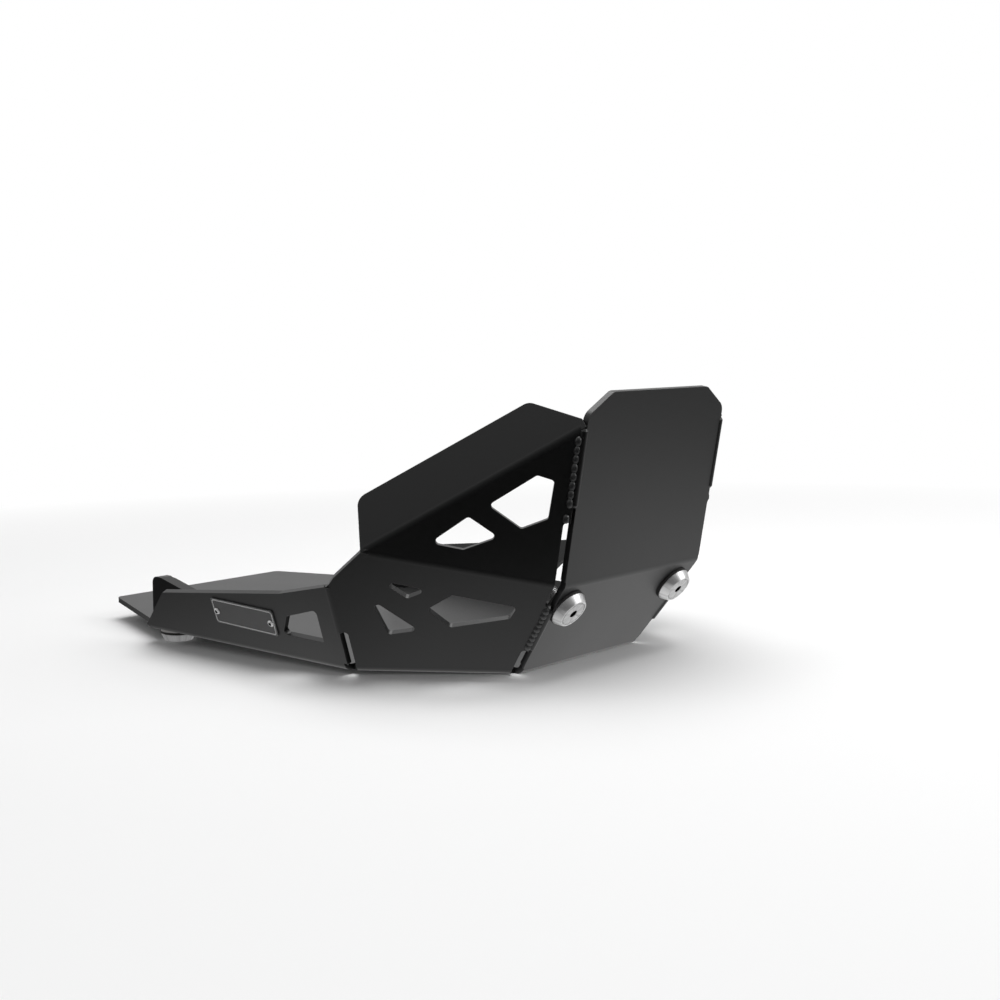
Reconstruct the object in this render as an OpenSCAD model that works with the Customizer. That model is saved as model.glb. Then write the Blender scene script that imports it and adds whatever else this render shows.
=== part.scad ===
/* [Sheet] */
// Thickness of the aluminium sheet
sheet_t = 4; // [3:0.5:5]
// Inner radius of every bend
bend_r = 3; // [2:0.5:4]
// Width of the relief slots beside the corners
slot_w = 5.5; // [4:0.5:7]
// Radius on the free corners of the upper wing facet and the front panel
corner_r = 8; // [4:1:10]

/* [Bottom plate] */
// Distance from the rear screws forward to the front bend
front_x = 291; // [270:1:310]
// Width at the front bend
front_w = 127; // [110:1:140]
// Length of the stretch that widens behind the front bend
taper_l = 90; // [80:1:100]
// Width where the taper ends and the side panels begin
side_front_w = 256; // [244:1:262]
// Width at the rear end of the side panels
side_rear_w = 262; // [250:1:270]
// Length from the front bend to the rear end of the side panels
side_end = 302; // [296:1:320]
// Square step beside the side panel's rear end, before the tail narrows
tail_step = 6; // [5:0.5:12]
// Length from the front bend to the rear edge
bottom_l = 410; // [380:1:430]
// Width of the rear edge
tail_w = 168; // [140:1:190]
// Radius on the corners of the rear edge
tail_r = 6; // [3:1:12]

/* [Front panels] */
// Length of the lower front panel, from bend to bend
lower_l = 78; // [72:1:86]
// Angle of the lower front panel above the bottom plate
lower_angle = 54.5; // [50:0.5:60]
// Width of the front panels above their bend
panel_w = 150; // [140:1:160]
// Length of the upper front panel, from its bend to the top edge
upper_l = 121.5; // [116:0.5:130]
// Angle of the upper front panel above the bottom plate
upper_angle = 80.5; // [76:0.5:86]
// Straight side of the upper front panel, up to its bevelled corner
upper_side_l = 107; // [105:0.5:112]
// Width of the top edge
top_w = 103; // [80:1:120]

/* [Wings] */
// Rear corner of the fold lines, along the taper bend
fold_u = 93.5; // [88:0.5:98]
// Rear corner of the fold lines, up the lower facet
fold_v = 98; // [92:0.5:104]
// Height of the upper fold on the front corner, above the front bend
fold_front_l = 101; // [94:0.5:104]
// Inward lean of the upper facet against the middle one
upper_lean = 35; // [25:1:45]
// Height of the upper facet
upper_h = 33.5; // [26:0.5:40]
// Length of the upper facet's bevel along its fold at the front
bevel_l = 24; // [20:1:30]
// Height at which that bevel starts
bevel_start = 6; // [3:0.5:9]
// Set-back of the upper facet's rear top corner from the fold's end
rear_setback = 12; // [6:0.5:18]
// Lower rear corner of the wing, forward of the top of the rear seam
wing_rear_u = 4.5; // [3:0.5:9]
// Lower rear corner of the wing, above the top of the rear seam
wing_rear_v = 7; // [4:0.5:11]

/* [Side panels] */
// Outward flare of the side panels from the vertical
flare = 27.5; // [20:0.5:35]
// Length of the welded seam between side panel and wing
seam_l = 71; // [66:0.5:73]
// Distance from the seam's foot back to the kink in the top edge
kink_u = 38; // [30:1:50]
// Height of the panel at that kink
kink_h = 56.5; // [50:0.5:60]
// Set-back of the rear top corner from the rear end
rear_slant = 40.5; // [20:0.5:50]
// Height of the panel at the rear top corner
rear_h = 38.5; // [34:0.5:44]
// Radius of the rear top corner
rear_corner_r = 6; // [3:1:10]

/* [Slots and welds] */
// Height of the slot at the foot of the front corner
low_slot_l = 21; // [16:0.5:26]
// Reach of the upper corner slot below the front bend
mid_slot_down = 19; // [14:0.5:24]
// Reach of the upper corner slot above the front bend
mid_slot_up = 41; // [34:0.5:48]
// Height of the slot at the foot of the rear seam
rear_slot_l = 33; // [26:0.5:38]
// Open groove beside each welded front edge
groove = 1.2; // [0.6:0.1:1.4]
// Radius of the weld beads
bead_r = 2.4; // [1.8:0.1:2.6]
// Depth of a bead's middle under the corner
bead_sink = 1.6; // [1.2:0.1:1.8]
// Length over which a bead's ends taper
bead_end_l = 1.5; // [0.5:0.5:2]
// Radius of a bead's tips
bead_end_r = 1.4; // [0.8:0.1:1.6]
// Clear length between a weld bead and the end of a slot
bead_gap = 3; // [2:0.5:5]
// Start of the upper weld bead above the end of its slot
upper_bead_start = 11; // [8:0.5:14]
// Radius of the relief at the top of the rear seam
seam_relief_r = 2; // [1:0.25:2.5]

/* [Cut-outs] */
// Radius in the corners of the cut-outs
cut_r = 2.5; // [1:0.5:3]
// Middle facet, front cut-out: upper rear, upper front, lower front, foot, and rear corners
front_cut_1 = [28.5, 66.5]; // [0:0.5:120]
// Upper front corner
front_cut_2 = [17.5, 65]; // [0:0.5:120]
// Lower front corner
front_cut_3 = [17, 41]; // [0:0.5:120]
// Foot
front_cut_4 = [32, 32]; // [0:0.5:120]
// Rear corner
front_cut_5 = [54.5, 43]; // [0:0.5:120]
// Middle facet, rear cut-out: top
rear_cut_1 = [65, 34]; // [0:0.5:120]
// Front corner
rear_cut_2 = [44.5, 24.5]; // [0:0.5:120]
// Foot
rear_cut_3 = [64.5, 13]; // [0:0.5:120]
// Rear corner
rear_cut_4 = [85.5, 13.5]; // [0:0.5:120]
// Lower facet, large kite: top
kite_1 = [39, 65.5]; // [0:0.5:120]
// Rear corner
kite_2 = [56, 53.5]; // [0:0.5:120]
// Foot
kite_3 = [42, 39]; // [0:0.5:120]
// Lower front corner
kite_4 = [4, 47]; // [0:0.5:120]
// Upper front corner
kite_5 = [-1, 56.5]; // [-10:0.5:120]
// Lower facet, small wedge: upper rear corner
wedge_1 = [84.5, 77]; // [0:0.5:120]
// Foot
wedge_2 = [67.5, 62]; // [0:0.5:120]
// Front corner
wedge_3 = [53.5, 69]; // [0:0.5:120]
// Lower facet, triangle: top
triangle_1 = [91.5, 62]; // [0:0.5:120]
// Rear foot
triangle_2 = [82, 32]; // [0:0.5:120]
// Front foot
triangle_3 = [62, 36]; // [0:0.5:120]
// Side panel window: upper front corner
window_1 = [7, 48]; // [0:0.5:220]
// Lower front corner
window_2 = [13, 21]; // [0:0.5:220]
// Lower rear corner
window_3 = [52, 21.5]; // [0:0.5:220]
// Upper rear corner
window_4 = [40, 38]; // [0:0.5:220]

/* [Badge] */
// Length of the badge plate
badge_l = 62; // [50:1:70]
// Height of the badge plate
badge_h = 21.5; // [16:0.5:24]
// Thickness of the badge plate
badge_t = 1; // [0.8:0.1:1.5]
// Slant of the badge plate's ends
badge_slant = 4; // [0:0.5:6]
// Distance of the badge's middle from the seam's foot
badge_u = 86; // [80:1:100]
// Height of the badge's middle up the side panel
badge_v = 31; // [26:0.5:32]
// Turn of the badge plate
badge_turn = 2; // [0:0.5:3]
// Radius of the badge plate's corners
badge_r = 1.5; // [0.5:0.5:3]
// Distance between the two rivets
rivet_spacing = 54.5; // [44:0.5:56]
// Diameter of a rivet's head
rivet_head_d = 5; // [4:0.5:6]
// Diameter of the flat on a rivet's head
rivet_flat_d = 3; // [2.5:0.5:3.5]
// Height of a rivet's head
rivet_head_h = 1.2; // [0.8:0.1:1.6]
// Diameter of a rivet's shank
rivet_d = 2.4; // [2:0.2:3]
// Diameter of a rivet's formed tail behind the panel
rivet_tail_d = 4; // [3.6:0.2:5]
// Height of that tail
rivet_tail_h = 1.5; // [1:0.5:3]

/* [Screws] */
// Nominal diameter of the M8 screws
screw_d = 8; // [8]
// Diameter of the plain shank under the head, as rolled
plain_d = 7.2; // [7:0.1:7.4]
// Length of a screw, with its head
screw_l = 30; // [28:1:35]
// Length of the plain shank, measured from the head's face
plain_l = 13; // [12:0.5:14]
// Diameter over the thread
thread_d = 7.9; // [7.8:0.05:7.9]
// Chamfer at the screw's tip
tip_chamfer = 1; // [0.5:0.25:1.5]
// Diameter of the countersunk head
head_d = 17.5; // [16:0.5:18]
// Straight rim of the head
head_rim = 0.5; // [0.3:0.1:0.8]
// Hexagon socket across its flats
socket_af = 5; // [4:0.5:6]
// Depth of the socket
socket_depth = 3.2; // [2.5:0.1:3.5]
// Distance of the front screws in from the side edges of the lower front panel
front_screw_y = 14.2; // [14:0.1:22]
// Height of the front screws up the lower panel
front_screw_up = 59; // [40:1:62]
// Distance of the rear screws from the centre plane
rear_screw_y = 112.5; // [106:0.5:112.5]
// Diameter of the screw holes in the rear of the plate and in the brackets' feet
rear_hole_d = 9; // [8.5:0.5:10]

/* [Washers and grommets] */
// Diameter of the cone washer at its base
cone_d = 26; // [24:0.5:27]
// Diameter of the cone washer's outer face
cone_top_d = 20.5; // [19.5:0.5:22]
// Height of the cone washer
cone_h = 5.5; // [5.5:0.25:7]
// Thickness of a grommet's flange and of the rear rubber ring
rubber_t = 1.5; // [1:0.1:2]
// Diameter of the rubber under a cone washer
rubber_d = 26.5; // [24:0.5:27]
// Diameter of the grommet's neck in the plate
neck_d = 16; // [14:0.5:18]
// Outer diameter of the sleeve inside the grommet
sleeve_d = 12; // [11:0.5:13]
// Bore of the sleeve, the washers and the discs
washer_bore = 8.4; // [8.4:0.1:9]
// Diameter of the rear spacer disc
disc_d = 26; // [24:0.5:27]
// Thickness of the rear spacer disc
disc_t = 2.5; // [2:0.5:4]
// Clearance round a neck, a sleeve and a countersunk head
fit_gap = 0.1; // [0.05:0.05:0.2]

/* [Rear brackets] */
// Thickness of a bracket's sheet
bracket_t = 4; // [3:0.5:4]
// Height of the bracket's upright above the bottom plate
bracket_h = 34.5; // [30:0.5:40]
// Length of the bracket along the plate
bracket_l = 40; // [34:1:44]
// Distance of the bracket's rear end behind the screw
bracket_back = 12; // [10:0.5:14]
// Length of the level stretch of its top
bracket_top_l = 10; // [6:1:14]
// Slope of the top towards the front
bracket_slope = 13; // [5:1:20]
// Radius of the upright's rear top corner
bracket_corner_r = 5; // [3:0.5:8]
// Width of the foot, from the outer face of the upright
foot_w = 28; // [24:1:32]
// Width of the lip along the top
lip_w = 10; // [7:1:12]
// Space between the upright and the side panel's bend
bracket_gap = 1; // [0.5:0.1:1.2]
// Diameter of the fixing hole in the upright
fixing_d = 8.5; // [8.4:0.1:9]
// Distance of the fixing hole forward of the screw
fixing_x = 8; // [7:1:9]
// Height of the fixing hole above the foot
fixing_h = 18; // [17:0.5:18]
// Nut across its flats
nut_af = 13; // [13]
// Height of the lock nut
nut_h = 8; // [6.5:0.5:9]
// Height of the lock nut's round collar
collar_h = 2; // [1.5:0.5:2.5]
// Diameter of that collar
collar_d = 12; // [11:0.5:12.5]

/* [Hidden] */
$fn = 64;

// Small overshoot so that cutting shapes pass clean through
over = 1;
// An arc's radius grows by a hair, so that it crosses its straight edges cleanly and doesn't just graze them
arc_swell = 1.004;
// How far an open slot runs on past its corner
slot_run_out = 2 * (bend_r + sheet_t);
black = "#232427";
steel = "#c9cbcb";
rubber = "#151515";

// Vectors
function unit(v) = v / norm(v);

// A face frame is [origin, x, y, z]: x runs from o towards a, b lies up the face, z points into the tray
function face_frame(o, a, b) = let(x = unit(a - o), z = unit(cross(a - o, b - o))) [o, x, cross(z, x), z];
function flat(f, p) = [(p - f[0]) * f[1], (p - f[0]) * f[2]];
function lift(f, p) = f[0] + f[1] * p[0] + f[2] * p[1];
function inward(f) = f[3];

module on_face(f) {
    o = f[0];
    x = f[1];
    y = f[2];
    z = f[3];
    multmatrix([[x[0], y[0], z[0], o[0]], [x[1], y[1], z[1], o[1]], [x[2], y[2], z[2], o[2]]]) children();
}

// Outlines: the edges of a convex polygon moved inwards, each by its own distance
function meet(p, u, q, v) = p + u * (cross(q - p, v) / cross(u, v));
function left_of(u) = [-u[1], u[0]];
function inset(pts, d) = let(n = len(pts)) [for (i = [0:n - 1])
    let(a = (i + n - 1) % n, ua = unit(pts[i] - pts[a]), ub = unit(pts[(i + 1) % n] - pts[i]))
    meet(pts[a] + left_of(ua) * d[a], ua, pts[i] + left_of(ub) * d[i], ub)];

// A convex outline, listed anticlockwise, with a true arc of radius r[i] at each corner
function turn_at(pts, i) = let(n = len(pts), ua = unit(pts[i] - pts[(i + n - 1) % n]),
    ub = unit(pts[(i + 1) % n] - pts[i])) acos(ua * ub);
module rounded(pts, r) {
    n = len(pts);
    into = [for (i = [0:n - 1]) unit(pts[i] - pts[(i + n - 1) % n])];
    turn = [for (i = [0:n - 1]) turn_at(pts, i)];
    polygon([for (i = [0:n - 1]) each (r[i] == 0 ? [pts[i]] :
        [pts[i] - into[i] * r[i] * tan(turn[i] / 2), pts[i] + into[(i + 1) % n] * r[i] * tan(turn[i] / 2)])]);
    for (i = [0:n - 1]) if (r[i] > 0)
        translate(pts[i] + unit(into[(i + 1) % n] - into[i]) * r[i] / cos(turn[i] / 2))
            circle(r[i] * arc_swell);
}

// The sheet's bends. A bend's arc stands a hair out from the sheet and laps over the flat pieces beside it,
// so that their surfaces cross and don't just graze, with the hidden edges inside the metal.
bend_out_r = bend_r + sheet_t;
bend_skin = 0.05;
bend_mean_r = sqrt(bend_r * bend_out_r);
bend_lap = sqrt(2 * bend_skin * bend_mean_r);
bend_lap_turn = asin(bend_lap / bend_mean_r);
// How far a bend's end stays back from an edge that lies square to it, how far the side bend's front end
// stays back from its corner, and how much of the flat sheet on either side the cut at a bend's end takes
bend_relief = 0.5;
side_relief = 2;
relief_margin = 1.5;
function bend_turn(z1, z2) = acos(z1 * z2);
function setback(z1, z2) = bend_out_r * tan(bend_turn(z1, z2) / 2) - bend_lap;

// The wings' folds run out sharp over their last few millimetres, where the facets stop short of the fold's
// line by a hair
fold_sharp_l = 3;
fold_gap = 0.1;

// The sheet rolled round the corner line from a to b, between faces with inward normals z1 and z2
module bend(a, b, z1, z2) {
    axis = unit(cross(z1, z2));
    start = axis * (b - a) > 0 ? a : b;
    turn = bend_turn(z1, z2);
    centre = start + unit(z1 + z2) * bend_out_r / cos(turn / 2);
    on_face([centre, -z1, cross(axis, -z1), axis])
        rotate(-bend_lap_turn) rotate_extrude(angle = turn + 2 * bend_lap_turn)
            translate([bend_r + bend_skin, 0]) square([sheet_t, norm(b - a)]);
}

// Ends a bend at point p of its corner line: takes the arc and a little of the sheet on either side of it,
// square to the bend, over width w in the direction away
module bend_stop(p, z1, z2, away, w) {
    axis = unit(cross(z1, z2));
    half_turn = bend_turn(z1, z2) / 2;
    depth = bend_out_r / cos(half_turn);
    half_w = bend_out_r * sin(half_turn) + relief_margin;
    on_face([p + unit(z1 + z2) * depth, -z1, cross(axis, -z1), axis]) rotate(half_turn)
        translate([-over, -half_w, axis * away > 0 ? 0 : -w]) cube([depth + 2 * over, 2 * half_w, w]);
}

// Corner points of the outer faces on the right-hand side
front_foot = [front_x, -front_w / 2, 0];
taper_end = [front_x - taper_l, -side_front_w / 2, 0];
side_rear = [front_x - side_end, -side_rear_w / 2, 0];
tail_corner = [front_x - bottom_l, -tail_w / 2, 0];
taper_dir = unit(taper_end - front_foot);
tail_start = side_rear + [0, tail_step, 0];
lower_dir = [cos(lower_angle), 0, sin(lower_angle)];
upper_dir = [cos(upper_angle), 0, sin(upper_angle)];
front_middle = [front_x, 0, 0];
bend_middle = front_middle + lower_dir * lower_l;
bend_corner = bend_middle - [0, panel_w / 2, 0];
fold_front = bend_corner + upper_dir * fold_front_l;

// Faces, with z pointing into the tray
bottom_face = [[0, 0, 0], [1, 0, 0], [0, 1, 0], [0, 0, 1]];
lower_face = face_frame(front_middle, front_middle - [0, 1, 0], bend_middle);
upper_face = face_frame(bend_middle, bend_middle - [0, 1, 0], bend_middle + upper_dir);
wing_face = face_frame(front_foot, taper_end, bend_corner);
fold_corner = lift(wing_face, [fold_u, fold_v]);
middle_face = face_frame(bend_corner, fold_corner, fold_front);
fold_axis = unit(fold_corner - fold_front);
fold_l = norm(fold_corner - fold_front);
middle_up = cross(inward(middle_face), fold_axis);
lean_up = middle_up * cos(upper_lean) + inward(middle_face) * sin(upper_lean);
top_face = face_frame(fold_front, fold_corner, fold_front + lean_up);
side_dir = unit(side_rear - taper_end);
side_up = [0, 0, cos(flare)] + cross([0, 0, 1], side_dir) * sin(flare);
side_face = face_frame(taper_end, side_rear, taper_end + side_up);
seam_dir = unit(cross(inward(side_face), inward(wing_face)));
seam_up = seam_dir[2] < 0 ? -seam_dir : seam_dir;
seam_top = taper_end + seam_up * seam_l;
side_half_at_screw = side_front_w / 2
    + (side_rear_w - side_front_w) / 2 * (front_x - taper_l) / (side_end - taper_l);

// Distances by which the bends set the flat faces back
foot_set = setback(inward(bottom_face), inward(lower_face));
knee_set = setback(inward(lower_face), inward(upper_face));
taper_set = setback(inward(bottom_face), inward(wing_face));
side_set = setback(inward(bottom_face), inward(side_face));
low_fold_set = setback(inward(wing_face), inward(middle_face));
high_fold_set = setback(inward(middle_face), inward(top_face));
seam_set = setback(inward(side_face), inward(wing_face));

function flipped(p) = [p[0], -p[1]];
function xy(p) = [p[0], p[1]];

module plate(f) {
    on_face(f) linear_extrude(sheet_t) children();
}

module cut_through(f) {
    on_face(f) translate([0, 0, -over]) linear_extrude(sheet_t + 2 * over) children();
}

module both_sides() {
    children();
    mirror([0, 1, 0]) children();
}

module bottom_panel() {
    right = [xy(tail_corner), xy(tail_start), xy(side_rear), xy(taper_end), xy(front_foot)];
    outline = concat(right, [for (i = [len(right) - 1:-1:0]) flipped(right[i])]);
    sets = [0, -bend_relief, side_set, taper_set, foot_set, taper_set, side_set, -bend_relief, 0, 0];
    plate(bottom_face) rounded(inset(outline, sets), [tail_r, 0, 0, 0, 0, 0, 0, 0, 0, tail_r]);
}

module lower_front_panel() {
    outline = [[-front_w / 2, 0], [front_w / 2, 0], [panel_w / 2, lower_l], [-panel_w / 2, lower_l]];
    plate(lower_face) polygon(inset(outline, [foot_set, groove, knee_set, groove]));
}

module upper_front_panel() {
    half = panel_w / 2;
    outline = [[-half, 0], [half, 0], [half, upper_side_l], [top_w / 2, upper_l], [-top_w / 2, upper_l],
        [-half, upper_side_l]];
    plate(upper_face) rounded(inset(outline, [knee_set, groove, 0, 0, 0, groove]),
        [0, 0, corner_r, corner_r, corner_r, corner_r]);
}

// A relief slot in face f along the corner line towards point p, from and to measured up that line
module corner_slot(f, foot, p, side, from, to) {
    a = flat(f, foot);
    along = unit(flat(f, p) - a);
    beside = left_of(along) * side;
    start = a + along * from;
    end = a + along * (to - slot_w / 2);
    across = beside * slot_w;
    on_face(f) translate([0, 0, -over]) linear_extrude(over + sheet_t + bend_r) {
        polygon([start, end, end + across, start + across]);
        translate(end + across / 2) circle(d = slot_w * arc_swell);
    }
}

// A strip of width w along the corner line from a to b on face f, from start to b less the fold's sharp end
module fold_strip(f, a, b, side, w, start) {
    along = flat(f, b) - flat(f, a);
    translate(flat(f, a)) rotate(atan2(along[1], along[0])) mirror([0, side < 0 ? 1 : 0])
        translate([start, -over]) square([norm(along) - fold_sharp_l - start, over + w]);
}

module wing_facets() {
    lower = concat([for (p = [front_foot, taper_end, seam_top]) flat(wing_face, p)],
        [flat(wing_face, seam_top) + [-wing_rear_u, wing_rear_v], [fold_u, fold_v],
            flat(wing_face, bend_corner)]);
    middle = [for (p = [bend_corner, fold_corner, fold_front]) flat(middle_face, p)];
    top = [[0, 0], [fold_l, 0], [fold_l - rear_setback, upper_h], [bevel_l, upper_h], [0, bevel_start]];
    plate(wing_face) difference() {
        polygon(inset(lower, [taper_set, seam_set, 0, 0, fold_gap, groove]));
        fold_strip(wing_face, bend_corner, fold_corner, -1, low_fold_set, -slot_w);
    }
    plate(middle_face) difference() {
        polygon(inset(middle, [fold_gap, fold_gap, groove]));
        fold_strip(middle_face, bend_corner, fold_corner, 1, low_fold_set, -slot_w);
        fold_strip(middle_face, fold_front, fold_corner, -1, high_fold_set, fold_sharp_l);
    }
    plate(top_face) difference() {
        rounded(inset(top, [fold_gap, 0, 0, 0, 0]), [0, 0, corner_r, corner_r, 0]);
        fold_strip(top_face, fold_front, fold_corner, 1, high_fold_set, fold_sharp_l);
    }
}

// The wing's bends: to the bottom plate, between its facets, and the rounded welded seam to the side panel
module wing_bends() {
    slot_middle = taper_dir * slot_w / 2;
    crease_dir = unit(fold_corner - bend_corner);
    sharp = fold_sharp_l - bend_relief;
    bend(front_foot + slot_middle, taper_end - slot_middle, inward(bottom_face), inward(wing_face));
    bend(bend_corner + crease_dir * slot_w / 2, fold_corner - crease_dir * sharp,
        inward(wing_face), inward(middle_face));
    bend(fold_front + fold_axis * sharp, fold_corner - fold_axis * sharp,
        inward(middle_face), inward(top_face));
    difference() {
        bend(taper_end + seam_up * (rear_slot_l - slot_w), seam_top, inward(side_face), inward(wing_face));
        on_face(wing_face) translate(concat(flat(wing_face, seam_top), -over))
            cylinder(h = sheet_t + bend_r + over, r = seam_relief_r);
    }
}

// The lower, middle and upper facets of the right-hand wing, with the folds between them
module wing() {
    difference() {
        union() {
            wing_facets();
            wing_bends();
        }
        corner_slot(wing_face, front_foot, bend_corner, -1, -slot_run_out, low_slot_l);
        corner_slot(wing_face, bend_corner, front_foot, 1, -slot_w, mid_slot_down);
        corner_slot(middle_face, bend_corner, fold_front, -1, -slot_w, mid_slot_up);
        corner_slot(wing_face, taper_end, seam_top, 1, -slot_run_out, rear_slot_l);
        cut_through(middle_face) {
            cut_out([front_cut_1, front_cut_5, front_cut_4, front_cut_3, front_cut_2]);
            cut_out([rear_cut_1, rear_cut_4, rear_cut_3, rear_cut_2]);
        }
        cut_through(wing_face) {
            cut_out([kite_1, kite_5, kite_4, kite_3, kite_2]);
            cut_out([wedge_1, wedge_3, wedge_2]);
            cut_out([triangle_1, triangle_3, triangle_2]);
        }
    }
}

module cut_out(pts) {
    rounded(pts, [for (p = pts) cut_r]);
}

// The right-hand side panel, bent up from the bottom plate
module side_panel() {
    end = norm(side_rear - taper_end);
    outline = [[0, side_set], [end + bend_relief, side_set], [end - rear_slant, rear_h], [kink_u, kink_h],
        flat(side_face, seam_top)];
    difference() {
        union() {
            plate(side_face) {
                rounded(inset(outline, [0, 0, 0, 0, seam_set]), [0, 0, rear_corner_r, 0, 0]);
                beside_slot = flat(side_face, taper_end + seam_up * rear_slot_l);
                polygon(inset([[0, 0], [kink_u, 0], beside_slot + [kink_u, 0], beside_slot],
                    [side_set, 0, 0, 0]));
            }
            bend(taper_end, side_rear + side_dir * bend_relief, inward(bottom_face), inward(side_face));
        }
        cut_through(side_face) cut_out([window_1, window_2, window_3, window_4]);
    }
}

// A weld bead in the groove along the corner line from a to b
module bead(a, b, z1, z2) {
    axis = unit(b - a);
    across = unit(cross(axis, z1));
    on_face([a + unit(z1 + z2) * bead_sink, across, cross(axis, across), axis]) {
        cylinder(h = norm(b - a), r = bead_r);
        translate([0, 0, -bead_end_l]) cylinder(h = bead_end_l, r1 = bead_end_r, r2 = bead_r);
        translate([0, 0, norm(b - a)]) cylinder(h = bead_end_l, r1 = bead_r, r2 = bead_end_r);
    }
}

module corner_welds() {
    corner_dir = unit(bend_corner - front_foot);
    bead(front_foot + corner_dir * (low_slot_l + bead_gap),
        bend_corner - corner_dir * (mid_slot_down + bead_gap), inward(lower_face), inward(wing_face));
    bead(bend_corner + upper_dir * (mid_slot_up + upper_bead_start), fold_front - upper_dir * bead_gap,
        inward(upper_face), inward(middle_face));
}

// Places a stack of fixings on a front screw's axis: z = 0 on the outer face, z up points out of the tray
module at_front_screw() {
    edge = (front_w + (panel_w - front_w) * front_screw_up / lower_l) / 2;
    on_face(lower_face) translate([edge - front_screw_y, front_screw_up, 0]) mirror([0, 0, 1]) children();
}

module at_rear_screw() {
    translate([0, -rear_screw_y, 0]) mirror([0, 0, 1]) children();
}

module skid_plate() {
    color(black) difference() {
        union() {
            bottom_panel();
            lower_front_panel();
            upper_front_panel();
            cross_bend(front_foot, inward(bottom_face), inward(lower_face));
            cross_bend(bend_corner, inward(lower_face), inward(upper_face));
            both_sides() {
                wing();
                side_panel();
                corner_welds();
            }
        }
        both_sides() {
            bend_stops();
            at_front_screw() through_hole(neck_d + 2 * fit_gap);
            at_rear_screw() through_hole(rear_hole_d);
        }
        on_badge() rivet_places() through_hole(rivet_d + 2 * fit_gap);
    }
}

// A bend across the plate, from a right-hand corner to its mirror image
module cross_bend(corner, z1, z2) {
    bend(corner, [corner[0], -corner[1], corner[2]], z1, z2);
}

// The right-hand ends of the bends that run out beside a slot or at an edge
module bend_stops() {
    back = groove + bend_relief;
    out = [0, -1, 0];
    bend_stop(front_foot - out * back, inward(bottom_face), inward(lower_face), out, back + over);
    bend_stop(bend_corner - out * back, inward(lower_face), inward(upper_face), out, back + over);
    bend_stop(taper_end + side_dir * side_relief, inward(bottom_face), inward(side_face), -side_dir,
        side_relief + over);
    bend_stop(side_rear - side_dir * bend_relief, inward(bottom_face), inward(side_face), side_dir,
        2 * bend_relief + over);
}

module through_hole(d) {
    translate([0, 0, -sheet_t - over]) cylinder(h = sheet_t + 2 * over, d = d);
}

// A ring on the z axis, from z = from upwards
module ring(d, bore, h, from = 0) {
    translate([0, 0, from]) difference() {
        cylinder(h = h, d = d);
        translate([0, 0, -over]) cylinder(h = h + 2 * over, d = bore);
    }
}

// Height of a countersunk head's cone, which runs at 90 degrees from the rim to the shank
head_cone_h = (head_d - plain_d) / 2;

// A countersunk socket screw with its face at z = 0 and its shank towards negative z
module socket_screw() {
    color(steel) difference() {
        union() {
            translate([0, 0, -head_rim]) cylinder(h = head_rim, d = head_d);
            translate([0, 0, -head_rim - head_cone_h]) cylinder(h = head_cone_h, d1 = plain_d, d2 = head_d);
            translate([0, 0, -screw_l + tip_chamfer])
                cylinder(h = screw_l - tip_chamfer - head_rim, d = plain_d);
            translate([0, 0, -screw_l + tip_chamfer])
                cylinder(h = screw_l - tip_chamfer - plain_l, d = thread_d);
            translate([0, 0, -screw_l])
                cylinder(h = tip_chamfer, d1 = thread_d - 2 * tip_chamfer, d2 = thread_d);
        }
        translate([0, 0, -socket_depth]) cylinder(h = socket_depth + over, d = socket_af / cos(30), $fn = 6);
    }
}

// A cone washer that stands on z = 0 and takes the screw's head flush with its face
module cone_washer() {
    color(steel) difference() {
        cylinder(h = cone_h, d1 = cone_d, d2 = cone_top_d);
        translate([0, 0, -over]) cylinder(h = cone_h + 2 * over, d = washer_bore);
        translate([0, 0, cone_h - head_rim]) cylinder(h = head_rim + over, d = head_d + 2 * fit_gap);
        translate([0, 0, cone_h - head_rim - head_cone_h])
            cylinder(h = head_cone_h, d1 = plain_d + 2 * fit_gap, d2 = head_d + 2 * fit_gap);
    }
}

// A grommet through the plate, with a flange on each face
module grommet() {
    color(rubber) difference() {
        union() {
            cylinder(h = rubber_t, d = rubber_d);
            translate([0, 0, -sheet_t]) cylinder(h = sheet_t, d = neck_d);
            translate([0, 0, -sheet_t - rubber_t]) cylinder(h = rubber_t, d = rubber_d);
        }
        translate([0, 0, -sheet_t - rubber_t - over])
            cylinder(h = sheet_t + 2 * rubber_t + 2 * over, d = sleeve_d + 2 * fit_gap);
    }
}

module sleeve() {
    color(steel) ring(sleeve_d, washer_bore, sheet_t + 2 * rubber_t, -sheet_t - rubber_t);
}

// A lock nut that stands on z = 0
module lock_nut() {
    color(steel) difference() {
        union() {
            cylinder(h = nut_h - collar_h, d = nut_af / cos(30), $fn = 6);
            cylinder(h = nut_h, d = collar_d);
        }
        translate([0, 0, -over]) cylinder(h = nut_h + 2 * over, d = screw_d + 2 * fit_gap);
    }
}

// The right-hand rear bracket: a foot on the bottom plate, an upright and a lip along its top
module rear_bracket() {
    outer_y = bracket_gap + side_set - side_half_at_screw;
    color(black) difference() {
        union() {
            difference() {
                bracket_bar(outer_y, 0);
                translate([0, bracket_t, 0]) bracket_bar(outer_y, bracket_t);
            }
            translate([-bracket_back, outer_y, sheet_t]) cube([bracket_l, foot_w, bracket_t]);
        }
        translate([0, -rear_screw_y, 0]) cylinder(h = sheet_t + bracket_h, d = rear_hole_d);
        translate([fixing_x, outer_y - over, sheet_t + bracket_t + fixing_h])
            rotate([-90, 0, 0]) cylinder(h = bracket_t + 2 * over, d = fixing_d);
    }
}

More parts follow.
